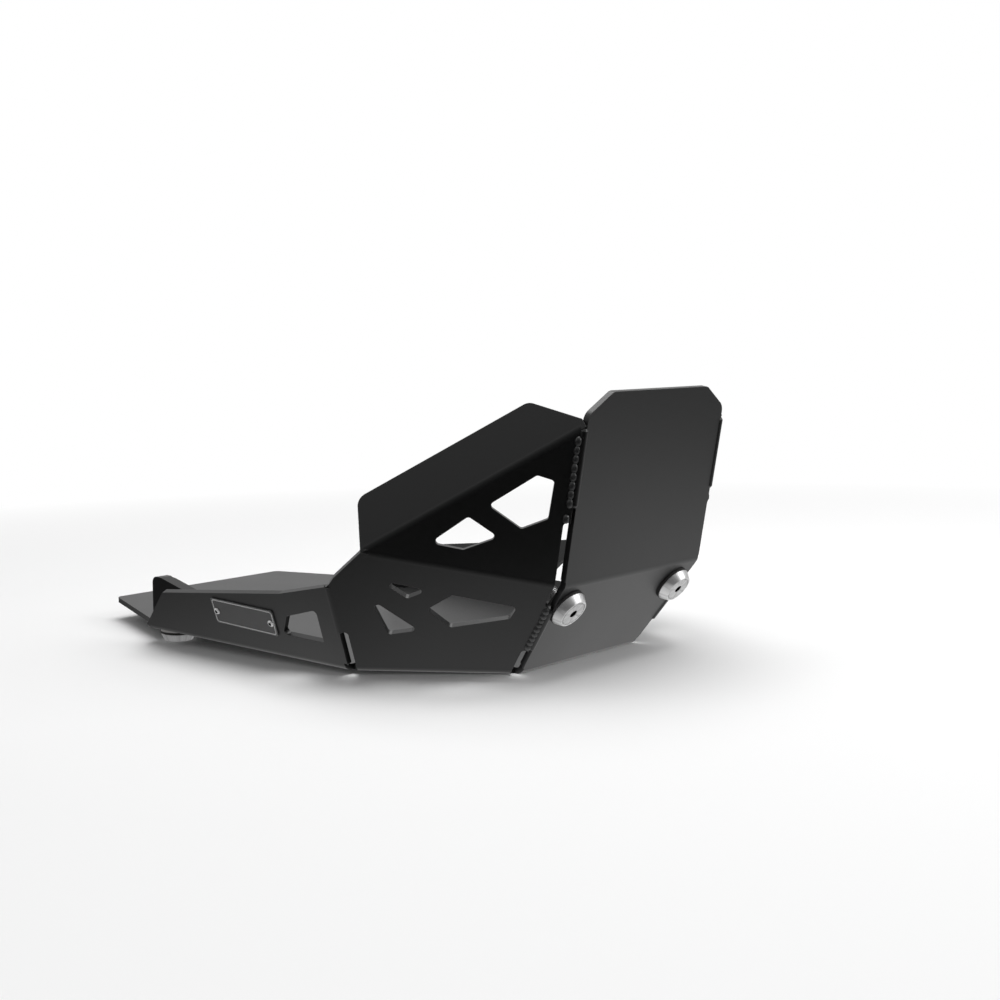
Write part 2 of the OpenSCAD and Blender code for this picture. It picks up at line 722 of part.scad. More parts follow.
// The bracket's side outline as a bar; lowered brings its top down and moves its other edges out
module bracket_bar(y, lowered) {
    back_x = -bracket_back;
    front = back_x + bracket_l;
    top_z = sheet_t + bracket_h;
    drop = (bracket_l - bracket_top_l) * tan(bracket_slope);
    profile = [[back_x, sheet_t], [front, sheet_t], [front, top_z - drop], [back_x + bracket_top_l, top_z],
        [back_x, top_z]];
    translate([0, y + lip_w, 0]) rotate([90, 0, 0]) linear_extrude(lip_w)
        rounded(inset(profile, [-lowered, -lowered, lowered, lowered, -lowered]),
            [0, 0, 0, 0, lowered > 0 ? 0 : bracket_corner_r]);
}

// The badge: its frame lies on the outer face of the right-hand side panel, z away from the panel
module on_badge() {
    on_face(side_face) translate([badge_u, badge_v, 0]) rotate(badge_turn) mirror([0, 0, 1]) children();
}

module rivet_places() {
    for (side = [-1, 1]) translate([side * rivet_spacing / 2, 0, 0]) children();
}

module badge_plate() {
    l = badge_l / 2;
    h = badge_h / 2;
    s = badge_slant / 2;
    color("#2b2d30") on_badge() difference() {
        linear_extrude(badge_t) rounded([[-l + s, -h], [l + s, -h], [l - s, h], [-l - s, h]],
            [badge_r, badge_r, badge_r, badge_r]);
        rivet_places() translate([0, 0, -over]) cylinder(h = badge_t + 2 * over, d = rivet_d + 2 * fit_gap);
    }
}

module badge_rivet(side) {
    color(steel) on_badge() translate([side * rivet_spacing / 2, 0, 0]) {
        translate([0, 0, -sheet_t - rivet_tail_h]) {
            cylinder(h = rivet_tail_h, d = rivet_tail_d);
            cylinder(h = rivet_tail_h + sheet_t + badge_t + rivet_head_h, d = rivet_d);
        }
        translate([0, 0, badge_t]) cylinder(h = rivet_head_h, d1 = rivet_head_d, d2 = rivet_flat_d);
    }
}

module on_right() {
    children();
}

module on_left() {
    mirror([0, 1, 0]) children();
}

module front_screw() {
    at_front_screw() translate([0, 0, rubber_t + cone_h]) socket_screw();
}

module front_cone_washer() {
    at_front_screw() translate([0, 0, rubber_t]) cone_washer();
}

module rear_screw() {
    at_rear_screw() translate([0, 0, disc_t + rubber_t + cone_h]) socket_screw();
}

module rear_cone_washer() {
    at_rear_screw() translate([0, 0, disc_t + rubber_t]) cone_washer();
}

module rear_rubber_ring() {
    color(rubber) at_rear_screw() ring(rubber_d, washer_bore, rubber_t, disc_t);
}

module rear_spacer_disc() {
    color(steel) at_rear_screw() ring(disc_d, washer_bore, disc_t);
}

module rear_nut() {
    translate([0, -rear_screw_y, sheet_t + bracket_t]) lock_nut();
}

skid_plate();
badge_plate();
badge_rivet(-1);  // badge_rivet_front
badge_rivet(1);  // badge_rivet_rear
on_right() front_screw();  // front_screw_right
on_left() front_screw();  // front_screw_left
on_right() front_cone_washer();  // front_cone_washer_right
on_left() front_cone_washer();  // front_cone_washer_left
on_right() at_front_screw() grommet();  // front_grommet_right
on_left() at_front_screw() grommet();  // front_grommet_left
on_right() at_front_screw() sleeve();  // front_sleeve_right
on_left() at_front_screw() sleeve();  // front_sleeve_left
on_right() rear_screw();  // rear_screw_right
on_left() rear_screw();  // rear_screw_left
on_right() rear_cone_washer();  // rear_cone_washer_right
on_left() rear_cone_washer();  // rear_cone_washer_left
on_right() rear_rubber_ring();  // rear_rubber_ring_right
on_left() rear_rubber_ring();  // rear_rubber_ring_left
on_right() rear_spacer_disc();  // rear_spacer_disc_right
on_left() rear_spacer_disc();  // rear_spacer_disc_left
on_right() rear_bracket();  // rear_bracket_right
on_left() rear_bracket();  // rear_bracket_left
on_right() rear_nut();  // rear_nut_right
on_left() rear_nut();  // rear_nut_left
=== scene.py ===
"""Dresses the skid plate: coat, turned washers, threaded screws, nuts, rivets, badge and weld ripples."""
import math

import bpy
from mathutils import Matrix, Vector


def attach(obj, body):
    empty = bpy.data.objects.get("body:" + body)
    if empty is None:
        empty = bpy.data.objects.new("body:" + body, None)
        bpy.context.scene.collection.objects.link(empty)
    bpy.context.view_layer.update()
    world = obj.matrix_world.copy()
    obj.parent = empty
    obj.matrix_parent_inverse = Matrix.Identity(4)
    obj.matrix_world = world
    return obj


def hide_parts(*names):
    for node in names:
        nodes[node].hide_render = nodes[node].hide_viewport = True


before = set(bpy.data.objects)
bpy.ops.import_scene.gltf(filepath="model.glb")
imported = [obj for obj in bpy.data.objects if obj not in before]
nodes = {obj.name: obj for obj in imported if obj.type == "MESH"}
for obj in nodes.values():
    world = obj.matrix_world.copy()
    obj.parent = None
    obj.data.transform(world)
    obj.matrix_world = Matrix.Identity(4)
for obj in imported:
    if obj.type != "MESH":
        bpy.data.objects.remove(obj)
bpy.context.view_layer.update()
MM = 0.001

# Sizes in millimetres and angles in degrees, as in the part's source

# Plate
SHEET_T = 4
FRONT_X, FRONT_W = 291, 127
TAPER_L, SIDE_FRONT_W = 90, 256
SIDE_END, SIDE_REAR_W = 302, 262
LOWER_L, LOWER_ANGLE = 78, 54.5
UPPER_ANGLE, PANEL_W = 80.5, 150
FOLD_U, FOLD_V = 93.5, 98
FLARE = 27.5
# Badge and its rivets
BADGE_L, BADGE_H, BADGE_T, BADGE_SLANT, BADGE_R = 62, 21.5, 1, 4, 1.5
BADGE_U, BADGE_V, BADGE_TURN = 86, 31, 2
RIVET_SPACING, RIVET_HEAD_D, RIVET_HEAD_H = 54.5, 5, 1.2
RIVET_D, RIVET_TAIL_D, RIVET_TAIL_H = 2.4, 4, 1.5
# Screws
HEAD_D, HEAD_RIM, PLAIN_D, PLAIN_L, SCREW_L, THREAD_D = 17.5, 0.5, 7.2, 13, 30, 7.9
SOCKET_AF, SOCKET_DEPTH = 5, 3.2
FRONT_SCREW_Y, FRONT_SCREW_UP, REAR_SCREW_Y = 14.2, 59, 112.5
# Washers, rubber and nuts
CONE_D, CONE_TOP_D, CONE_H, WASHER_BORE, FIT_GAP = 26, 20.5, 5.5, 8.4, 0.1
RUBBER_T, DISC_T, BRACKET_T = 1.5, 2.5, 4
NUT_AF, NUT_H, COLLAR_H, COLLAR_D = 13, 8, 2, 12


def ahead(angle):
    """Straight ahead, turned up by an angle."""
    return Vector((math.cos(math.radians(angle)), 0, math.sin(math.radians(angle))))


# Directions of the front panels, and corners of the plate's outer face on the right
LOWER_UP, UPPER_UP, LOWER_OUT = ahead(LOWER_ANGLE), ahead(UPPER_ANGLE), ahead(LOWER_ANGLE - 90)
FRONT_FOOT = Vector((FRONT_X, -FRONT_W / 2, 0))
SIDE_FRONT = Vector((FRONT_X - TAPER_L, -SIDE_FRONT_W / 2, 0))
SIDE_REAR = Vector((FRONT_X - SIDE_END, -SIDE_REAR_W / 2, 0))
CORNER = Vector((FRONT_X, -PANEL_W / 2, 0)) + LOWER_UP * LOWER_L
# The front screw on the left, set in from the lower panel's edge
LOWER_EDGE_Y = (FRONT_W + (PANEL_W - FRONT_W) * FRONT_SCREW_UP / LOWER_L) / 2
FRONT_SCREW = Vector((FRONT_X, LOWER_EDGE_Y - FRONT_SCREW_Y, 0)) + LOWER_UP * FRONT_SCREW_UP


# Nodes

def add_node(tree, kind, settings, values):
    """Adds a node to a tree: first its settings, then the values or links of its sockets."""
    made = tree.nodes.new(kind)
    for key, value in settings.items():
        setattr(made, key, value)
    for key, value in values.items():
        if isinstance(value, Num):
            tree.links.new(value.socket, made.inputs[key])
        else:
            made.inputs[key].default_value = value
    return made


class Num:
    """A socket of a node tree; sums and products of it add Math nodes."""

    def __init__(self, tree, socket):
        self.tree, self.socket = tree, socket

    def _math(self, operation, a, b):
        """A Math node on two sockets or numbers."""
        made = add_node(self.tree, "ShaderNodeMath", {"operation": operation}, {0: a, 1: b})
        return Num(self.tree, made.outputs[0])

    def __add__(self, other):
        return self._math("ADD", self, other)

    def __mul__(self, other):
        return self._math("MULTIPLY", self, other)

    def __sub__(self, other):
        return self._math("SUBTRACT", self, other)

    def __rsub__(self, other):
        return self._math("SUBTRACT", other, self)

    __radd__ = __add__
    __rmul__ = __mul__

    def least(self, other):
        """The smaller of the two."""
        return self._math("MINIMUM", self, other)

    def most(self, other):
        """The larger of the two."""
        return self._math("MAXIMUM", self, other)


class Finish:
    """A material with one Principled shader."""

    def __init__(self, name, **sockets):
        self.material = bpy.data.materials.new(name)
        self.material.use_nodes = True
        self.tree = self.material.node_tree
        self.tree.nodes.clear()
        self.shader = add_node(self.tree, "ShaderNodeBsdfPrincipled", {}, {})
        self.output = add_node(self.tree, "ShaderNodeOutputMaterial", {}, {})
        self.tree.links.new(self.shader.outputs[0], self.output.inputs[0])
        for key, value in sockets.items():
            self.put(key.replace("_", " "), value)

    def node(self, kind, settings=None, values=None, output=0):
        """Adds a node and gives the output that is asked for."""
        made = add_node(self.tree, kind, settings or {}, values or {})
        return Num(self.tree, made.outputs[output])

    def put(self, socket, value):
        """Sets or links a socket of the shader."""
        if isinstance(value, Num):
            self.tree.links.new(value.socket, self.shader.inputs[socket])
        else:
            self.shader.inputs[socket].default_value = value

    def place(self):
        """The object's coordinates, in metres."""
        return self.node("ShaderNodeTexCoord", output="Object")

    def own(self):
        """A turned piece's own coordinates, with its axis as z."""
        return self.node("ShaderNodeAttribute", {"attribute_name": "own"}, output="Vector")

    def noise(self, where, size, detail=2.0, roughness=0.5):
        """Noise from 0 to 1 with spots of about that size."""
        return self.node("ShaderNodeTexNoise", {},
                         {"Vector": where, "Scale": 1 / size, "Detail": detail, "Roughness": roughness})

    def vector(self, operation, a, b=(0, 0, 0), output=0):
        """Vector Math on one vector or two."""
        return self.node("ShaderNodeVectorMath", {"operation": operation}, {0: a, 1: b}, output)

    def blend(self, mask, a, b):
        """Colour a where the mask is 0 and b where it is 1."""
        return self.node("ShaderNodeMix", {"data_type": "RGBA"}, {"Factor": mask, 6: a, 7: b}, output=2)

    def soft_edge(self, radius):
        """The normal of a surface whose edges are rounded by a hair."""
        return self.node("ShaderNodeBevel", {"samples": 6}, {"Radius": radius})

    def edge_mask(self, rounded, gain):
        """1 on an edge and 0 on a flat, from the rounded normal and the true one."""
        true = self.node("ShaderNodeNewGeometry", output="True Normal")
        same = self.vector("DOT_PRODUCT", rounded, true, "Value")
        return ((1 - same) * gain).least(1.0)

    def bump(self, height, depth, normal):
        """Bumps of that depth, on top of a normal."""
        bumped = self.node("ShaderNodeBump", {}, {"Height": height, "Distance": depth, "Normal": normal})
        self.put("Normal", bumped)


# Finishes

def grey(level, warm=0.0):
    """A grey, made warmer towards red or, below 0, cooler towards blue."""
    return (level * (1 + warm), level, level * (1 - warm), 1)


# Detail of the finishes, in metres: soft edges, sizes of spots and clouds, and depths of bumps
SHEET_EDGE, METAL_EDGE, RUBBER_EDGE = 0.5 * MM, 0.2 * MM, 0.4 * MM
PEEL, PEEL_DEPTH, COAT_CLOUD = 1.1 * MM, 0.02 * MM, 45 * MM
ZINC_SPECK, SPECK_DEPTH, ZINC_CLOUD = 0.5 * MM, 0.01 * MM, 6 * MM
RUBBER_GRAIN, GRAIN_DEPTH, DUST = 0.4 * MM, 0.03 * MM, 3 * MM
BRUSH, BRUSH_DEPTH, BRUSH_STRETCH = 0.25 * MM, 0.01 * MM, (0.03, 1, 1)
NYLON_CLOUD = 2 * MM
# Turning marks: rings to a metre, how much height counts beside radius, and spots on a circle of radius 1 for
# the fans, which vary the roughness and paint reflection into the colour
RINGS, RING_SLANT, STREAK = 6400, 0.7, 0.3


def coat_finish(name, level, sheen, edge_highlight_gain, edge_level):
    """Black powder coat: fine orange peel, cloudy gloss, and a painted highlight: a thin line of lighter
    colour along its edges.
    """
    finish = Finish(name, Specular_IOR_Level=sheen)
    where = finish.place()
    rounded = finish.soft_edge(SHEET_EDGE)
    edge = finish.edge_mask(rounded, edge_highlight_gain)
    peel = finish.noise(where, PEEL, 2, 0.6)
    cloud = finish.noise(where, COAT_CLOUD, 3)
    # Painted highlight: the colour turns lighter along the edges, where the rounded coat would catch light
    finish.put("Base Color", finish.blend(edge * 0.8, grey(level, -0.03), grey(edge_level)))
    finish.put("Roughness", cloud * 0.06 + peel * 0.04 + 0.33)
    finish.bump(peel, PEEL_DEPTH, rounded)
    return finish.material


def turned_finish(name, level, rough, ring_depth, metal=0.85):
    """Metal off the lathe: fine rings round the axis, and marks that fan out from it, in the roughness and as
    painted reflection, light and dark, in the colour.
    """
    finish = Finish(name, Metallic=metal)
    own = finish.own()
    flat = finish.vector("MULTIPLY", own, (1, 1, 0))
    radius = finish.vector("LENGTH", flat, output="Value")
    height = finish.node("ShaderNodeSeparateXYZ", {}, {0: own}, output=2)
    rings = finish.node("ShaderNodeTexNoise", {"noise_dimensions": "1D"},
                        {"W": radius + height * RING_SLANT, "Scale": RINGS, "Detail": 2.0})
    fan = finish.noise(finish.vector("NORMALIZE", flat), STREAK, 4, 0.7)
    streaks_and_painted_sheen = ((fan - 0.5) * 2.2 + 0.5).most(0.0).least(1.0)
    # Painted reflection: light and dark fans in the colour stand in for the wedges that turned metal reflects
    finish.put("Base Color", finish.blend(streaks_and_painted_sheen, grey(level * 0.62), grey(level * 1.25)))
    finish.put("Roughness", streaks_and_painted_sheen * -0.14 + rings * 0.1 + rough)
    finish.bump(rings, ring_depth, finish.soft_edge(METAL_EDGE))
    return finish.material


def plated_finish(name, level, rough):
    """Zinc plate: cloudy, with small dull specks."""
    finish = Finish(name, Metallic=1.0)
    where = finish.place()
    cloud = finish.noise(where, ZINC_CLOUD, 3)
    specks = finish.noise(where, ZINC_SPECK, 1)
    finish.put("Base Color", finish.blend(cloud, grey(level * 0.85, 0.02), grey(level * 1.1, 0.02)))
    finish.put("Roughness", cloud * 0.15 + specks * 0.1 + rough)
    finish.bump(specks, SPECK_DEPTH, finish.soft_edge(METAL_EDGE))
    return finish.material


def rubber_finish():
    """Matt black rubber with a little dust."""
    finish = Finish("rubber")
    where = finish.place()
    dust = finish.noise(where, DUST, 4, 0.65)
    finish.put("Base Color", finish.blend(dust, grey(0.008), grey(0.03, 0.05)))
    finish.put("Roughness", dust * 0.25 + 0.6)
    finish.bump(finish.noise(where, RUBBER_GRAIN, 2), GRAIN_DEPTH, finish.soft_edge(RUBBER_EDGE))
    return finish.material


def nylon_finish():
    """Pale blue nylon, slightly cloudy."""
    finish = Finish("nylon")
    cloud = finish.noise(finish.place(), NYLON_CLOUD, 2)
    finish.put("Base Color", finish.blend(cloud, (0.30, 0.36, 0.42, 1), (0.36, 0.42, 0.48, 1)))
    finish.put("Roughness", cloud * 0.1 + 0.45)
    return finish.material


def badge_finish(name, level, edge_level, rough):
    """Anodised sheet brushed along its length, lighter in colour along its edges."""
    finish = Finish(name, Metallic=0.6)
    stretched = finish.node("ShaderNodeMapping", {}, {"Vector": finish.place(), "Scale": BRUSH_STRETCH})
    brushed = finish.noise(stretched, BRUSH, 3, 0.6)
    rounded = finish.soft_edge(SHEET_EDGE)
    field = finish.blend(brushed, grey(level * 0.8), grey(level * 1.25))
    finish.put("Base Color", finish.blend(finish.edge_mask(rounded, 6.0), field, grey(edge_level)))
    finish.put("Roughness", brushed * 0.15 + rough)
    finish.bump(brushed, BRUSH_DEPTH, rounded)
    return finish.material


COAT = coat_finish("powder_coat", level=0.004, sheen=0.5, edge_highlight_gain=5.0, edge_level=0.06)
# Weld drops are round, so no edge of theirs catches light. Painted highlight: the drops' coat is the plate's
# powder coat coloured three times lighter, so that they read as lit
WELD_HIGHLIGHT_COAT = coat_finish("weld_highlight_coat", level=0.012, sheen=0.8, edge_highlight_gain=0.0, edge_level=0.06)
BRACKET_COAT = coat_finish("bracket_coat", level=0.004, sheen=0.3, edge_highlight_gain=5.0, edge_level=0.05)
TURNED = turned_finish("turned_steel", level=0.64, rough=0.37, ring_depth=0.02 * MM)
SCREW = turned_finish("screw_steel", level=0.52, rough=0.36, ring_depth=0.01 * MM)
PLATED = plated_finish("plated_steel", level=0.55, rough=0.28)
# Painted shade: a near-black copy of the plated finish, put inside screw sockets and rivet bores where shade
# falls
SOCKET_SHADE = plated_finish("socket_shade", level=0.015, rough=0.7)
RIVET = turned_finish("rivet_aluminium", level=0.9, rough=0.4, ring_depth=0.01 * MM, metal=0.4)
RUBBER = rubber_finish()
NYLON = nylon_finish()
BADGE = badge_finish("badge_sheet", level=0.1, edge_level=0.45, rough=0.38)
BORDER = badge_finish("badge_border", level=0.6, edge_level=0.8, rough=0.35)

CARRIED_OVER = {
    "skid_plate": COAT, "badge_plate": BADGE,
    "front_grommet": RUBBER, "front_sleeve": PLATED,
    "rear_rubber_ring": RUBBER, "rear_spacer_disc": PLATED, "rear_bracket": BRACKET_COAT,
}
for name, node in nodes.items():
    finish = CARRIED_OVER.get(name) or CARRIED_OVER.get(name.rsplit("_", 1)[0])
    if finish:
        node.data.materials.clear()
        node.data.materials.append(finish)


# Making and placing of pieces

def settle(piece, finish, slot, *stands_for):
    """Gives a piece its finish, if it has none, and its body, and hides the nodes it stands for. The slot is
    not used.
    """
    if not piece.data.materials:
        piece.data.materials.append(finish)
    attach(piece, "root")
    if stands_for:
        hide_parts(*stands_for)
    return piece


def new_object(name, data):
    """A new object at the origin, for a mesh, lamp or camera."""
    made = bpy.data.objects.new(name, data)
    bpy.context.scene.collection.objects.link(made)
    return made


def shift_out(height):
    """A move along a piece's own axis, given in millimetres."""
    return Matrix.Translation((0, 0, height * MM))


def frame_at(point, x, y, z):
    """A frame with those axes, at a point given in millimetres."""
    return Matrix.Translation(Vector(point) * MM) @ Matrix((x, y, z)).transposed().to_4x4()


def axis_frame(point, axis):
    """A frame with z along an axis that lies in the plane of symmetry, and x to the left."""
    z, x = Vector(axis), Vector((0, 1, 0))
    return frame_at(point, x, z.cross(x), z)


# Points round a turned piece, and the turn above which its edges stay sharp
AROUND, SHARP = 72, math.radians(28)


def ring(reach, z):
    """A closed ring at height z; reach gives its distance from the axis at an angle."""
    angles = [i * math.tau / AROUND for i in range(AROUND)]
    return [(reach(a) * math.cos(a), reach(a) * math.sin(a), z) for a in angles]


def rounds(*profile):
    """Round rings, from points of a profile that are a radius and a height each."""
    return [ring(lambda angle: radius, z) for radius, z in profile]


def hex_ring(flats, z, inside=0.0, outside=math.inf):
    """A hexagonal ring, cut to a circle from outside, or opened to a circle from inside."""
    sixth = math.pi / 3

    def reach(angle):
        """Distance from the middle to the ring's edge."""
        edge = flats / 2 / math.cos((angle + sixth / 2) % sixth - sixth / 2)
        return max(inside, min(outside, edge))

    return ring(reach, z)


def turned(name, rings, place, bored):
    """Skins rings of points; a bored piece closes on itself, a solid one closes at its two ends."""
    verts = [point for points in rings for point in points]
    faces = []
    count = len(rings)
    for j in range(count if bored else count - 1):
        a, b = j * AROUND, (j + 1) % count * AROUND
        for i in range(AROUND):
            k = (i + 1) % AROUND
            faces.append((a + i, a + k, b + k, b + i))
    if not bored:
        for end, flip in ((0, True), (count - 1, False)):
            middle = len(verts)
            verts.append((0, 0, rings[end][0][2]))
            for i in range(AROUND):
                a, b = end * AROUND + i, end * AROUND + (i + 1) % AROUND
                faces.append((middle, b, a) if flip else (middle, a, b))
    mesh = bpy.data.meshes.new(name)
    mesh.from_pydata([Vector(v) * MM for v in verts], [], faces)
    mesh.polygons.foreach_set("use_smooth", [True] * len(mesh.polygons))
    mesh.set_sharp_from_angle(angle=SHARP)
    mesh.update()
    return seat(new_object(name, mesh), place)


def seat(piece, place):
    """Moves a piece made round z to its place, and keeps its own coordinates for its finish."""
    mesh = piece.data
    own = mesh.attributes.get("own") or mesh.attributes.new("own", "FLOAT_VECTOR", "POINT")
    for spot, vertex in zip(own.data, mesh.vertices):
        spot.vector = vertex.co
    mesh.transform(place)
    return piece


def paint_bore_shade(piece, finish, shade, reach, bottom):
    """Paints shade into a bore: what lies within reach of the axis, above the bottom, gets a darker material
    than the rest.
    """
    mesh = piece.data
    mesh.materials.append(finish)
    mesh.materials.append(shade)
    own = mesh.attributes["own"].data
    for face in mesh.polygons:
        middle = sum((own[i].vector for i in face.vertices), Vector()) / len(face.vertices)
        if middle.xy.length < reach * MM and middle.z > bottom * MM:
            face.material_index = 1


def join(name, first, *others):
    """Joins pieces into the first of them."""
    with bpy.context.temp_override(active_object=first, selected_editable_objects=[first, *others]):
        bpy.ops.object.join()
    first.name = name
    return first


# Trees that follow a path

class Grower:
    """A geometry node tree whose named inputs are sizes."""

    def __init__(self, name, sizes):
        self.tree = bpy.data.node_groups.new(name, "GeometryNodeTree")
        face = self.tree.interface
        face.new_socket("Geometry", in_out="INPUT", socket_type="NodeSocketGeometry")
        face.new_socket("Geometry", in_out="OUTPUT", socket_type="NodeSocketGeometry")
        self.sockets = {}
        for key, kind in sizes.items():
            self.sockets[key] = face.new_socket(key, in_out="INPUT", socket_type=kind).identifier
        self.inputs = add_node(self.tree, "NodeGroupInput", {}, {})
        self.output = add_node(self.tree, "NodeGroupOutput", {}, {})

    def size(self, key):
        """One of the tree's inputs."""
        return Num(self.tree, self.inputs.outputs[key])

    def node(self, kind, settings=None, values=None, output=0):
        """Adds a node and gives the output that is asked for."""
        made = add_node(self.tree, kind, settings or {}, values or {})
        return Num(self.tree, made.outputs[output])

    def finish(self, shape):
        """Ends the tree: real geometry with its material."""
        real = self.node("GeometryNodeRealizeInstances", {}, {"Geometry": shape})
        done = self.node("GeometryNodeSetMaterial", {}, {"Geometry": real, "Material": self.size("Material")})
        self.tree.links.new(done.socket, self.output.inputs[0])

    def grow(self, name, path, sizes, place=None):
        """Grows the tree along a polyline, given in millimetres, and keeps the plain mesh."""
        mesh = bpy.data.meshes.new(name)
        mesh.from_pydata([Vector(p) * MM for p in path], [(i, i + 1) for i in range(len(path) - 1)], [])
        guide = new_object(name + "_guide", mesh)
        grower = guide.modifiers.new("grow", "NODES")
        grower.node_group = self.tree
        for key, value in sizes.items():
            grower[self.sockets[key]] = value
        evaluated = guide.evaluated_get(bpy.context.evaluated_depsgraph_get())
        grown = bpy.data.meshes.new_from_object(evaluated)
        guide.modifiers.remove(grower)
        bpy.data.objects.remove(guide)
        if place:
            grown.transform(place)
        return new_object(name, grown)


def weld_tree():
    """Overlapping drops of weld metal, set on a path one pitch apart, each a little different."""
    tree = Grower("weld drops", {
        "Pitch": "NodeSocketFloat", "Width": "NodeSocketFloat", "Length": "NodeSocketFloat",
        "Uneven": "NodeSocketFloat", "Seed": "NodeSocketInt", "Material": "NodeSocketMaterial"})
    path = tree.node("GeometryNodeMeshToCurve", {}, {"Mesh": tree.size("Geometry")})
    spots = tree.node("GeometryNodeResampleCurve", {"mode": "LENGTH"},
                      {"Curve": path, "Length": tree.size("Pitch")})
    drop = tree.node("GeometryNodeMeshIcoSphere", {}, {"Radius": 0.5, "Subdivisions": 4})
    along = tree.node("GeometryNodeInputTangent")
    turn = tree.node("FunctionNodeAlignRotationToVector", {"axis": "Z"}, {"Vector": along})
    uneven = tree.node("FunctionNodeRandomValue", {"data_type": "FLOAT"},
                       {2: 1 - tree.size("Uneven"), 3: 1 + tree.size("Uneven"), "Seed": tree.size("Seed")},
                       output=1)
    across = tree.size("Width") * uneven
    size = tree.node("ShaderNodeCombineXYZ", {}, {0: across, 1: across, 2: tree.size("Length") * uneven})
    drops = tree.node("GeometryNodeInstanceOnPoints", {},
                      {"Points": spots, "Instance": drop, "Rotation": turn, "Scale": size})
    tree.finish(tree.node("GeometryNodeSetShadeSmooth", {}, {"Geometry": drops}))
    return tree


def ridge_tree():
    """A pointed ridge along a path round z. Its sizes are how far it reaches level and how far upright."""
    tree = Grower("ridge", {"Level": "NodeSocketFloat", "Upright": "NodeSocketFloat",
                            "Material": "NodeSocketMaterial"})
    path = tree.node("GeometryNodeMeshToCurve", {}, {"Mesh": tree.size("Geometry")})
    upright = tree.node("GeometryNodeSetCurveNormal", {"mode": "Z_UP"}, {"Curve": path})
    diamond = tree.node("GeometryNodeCurvePrimitiveCircle", {}, {"Resolution": 4, "Radius": 1.0})
    scale = tree.node("ShaderNodeCombineXYZ", {}, {0: tree.size("Level"), 1: tree.size("Upright"), 2: 1.0})
    section = tree.node("GeometryNodeTransform", {}, {"Geometry": diamond, "Scale": scale})
    tree.finish(tree.node("GeometryNodeCurveToMesh", {},
                          {"Curve": upright, "Profile Curve": section, "Fill Caps": True}))
    return tree


WELD = weld_tree()
RIDGE = ridge_tree()

# Screws: their face at z = 0, their shank towards negative z

# Height of the head's cone, at 45 degrees, and radius of the socket's mouth
HEAD_CONE_H, MOUTH_R = (HEAD_D - PLAIN_D) / 2, 3.1
# How far out from the axis a socket gets painted shade: just past the hexagon's corners
SOCKET_SHADE_R = SOCKET_AF * 0.58
# Step in the head's rim and in the washer's seat: the dark ring between them
RIM_GAP = 0.2
# Core and chamfered tip; pitch of the thread, its two ends, and half its width as a share of the pitch
CORE_R, TIP_R, TIP_L = 3.32, 2.2, 0.9
THREAD_PITCH, THREAD_TOP, THREAD_BOTTOM, THREAD_SHARE = 1.25, -PLAIN_L - 0.4, -SCREW_L + 0.75, 0.48
# Points to a turn; at each end the thread rises from under the core, in part of a turn
THREAD_STEPS, RUN_OUT, THREAD_SINK = 24, 0.7, 0.35


def screw_thread(name):
    """A ridge that winds up the shank, from the tip to the plain part."""
    length = THREAD_TOP - THREAD_BOTTOM
    turns = length / THREAD_PITCH
    steps = round(turns * THREAD_STEPS)
    helix = []
    for i in range(steps + 1):
        rise = min(1, i / THREAD_STEPS / RUN_OUT, (steps - i) / THREAD_STEPS / RUN_OUT)
        r = CORE_R - THREAD_SINK * (1 - rise)
        angle = math.tau * turns * i / steps
        helix.append((r * math.cos(angle), r * math.sin(angle), THREAD_BOTTOM + length * i / steps))
    sizes = {"Level": (THREAD_D / 2 - CORE_R) * MM, "Upright": THREAD_PITCH * THREAD_SHARE * MM}
    return RIDGE.grow(name, helix, {**sizes, "Material": SCREW})


def socket_screw(name, node, place):
    """A countersunk socket screw with its thread."""
    head_r, plain_r, cone_end = HEAD_D / 2 - RIM_GAP, PLAIN_D / 2, -HEAD_RIM - HEAD_CONE_H
    rings = rounds(
        (TIP_R, -SCREW_L), (TIP_R + 0.55, -SCREW_L + 0.15), (CORE_R, -SCREW_L + TIP_L),
        (CORE_R, -PLAIN_L - 0.3), (plain_r, -PLAIN_L), (plain_r, cone_end - 0.2), (plain_r + 0.1, cone_end),
        (HEAD_D / 2, -HEAD_RIM), (head_r, -HEAD_RIM), (head_r, -0.15), (head_r - 0.15, 0), (MOUTH_R, 0))
    rings += [hex_ring(SOCKET_AF, -0.25, inside=2.75), hex_ring(SOCKET_AF, -0.6),
              hex_ring(SOCKET_AF, -SOCKET_DEPTH + 0.5), hex_ring(SOCKET_AF - 0.6, -SOCKET_DEPTH)]
    screw = turned(name, rings, Matrix.Identity(4), bored=False)
    paint_bore_shade(screw, SCREW, SOCKET_SHADE, SOCKET_SHADE_R, -SOCKET_DEPTH - 0.1)
    thread = screw_thread(name + "_thread")
    return settle(seat(join(name, screw, thread), place), SCREW, "screw", node)


def cone_washer(name, node, place):
    """A turned cone washer that stands on z = 0, with its seat opened into a narrow ring."""
    bore_r, base_r, top_r, seat_r = WASHER_BORE / 2, CONE_D / 2, CONE_TOP_D / 2, HEAD_D / 2 + FIT_GAP
    open_r, seat_z = seat_r + RIM_GAP, CONE_H - HEAD_RIM
    rings = rounds(
        (bore_r, 0), (base_r - 0.4, 0), (base_r - 0.1, 0.12), (base_r, 0.4), (base_r - 0.1, 0.75),
        (top_r + 0.2, CONE_H - 0.3), (top_r, CONE_H - 0.06), (top_r - 0.3, CONE_H),
        (open_r + 0.1, CONE_H), (open_r, CONE_H - 0.1), (open_r, seat_z), (seat_r, seat_z),
        (bore_r, seat_z - (seat_r - bore_r)))
    return settle(turned(name, rings, place, bored=True), TURNED, "turned_steel", node)


# Bore of the lock nut, and inner radius of its collar, which is rolled over the nylon
NUT_BORE, ROLLED_R = 8.2, COLLAR_D / 2 - 1.2


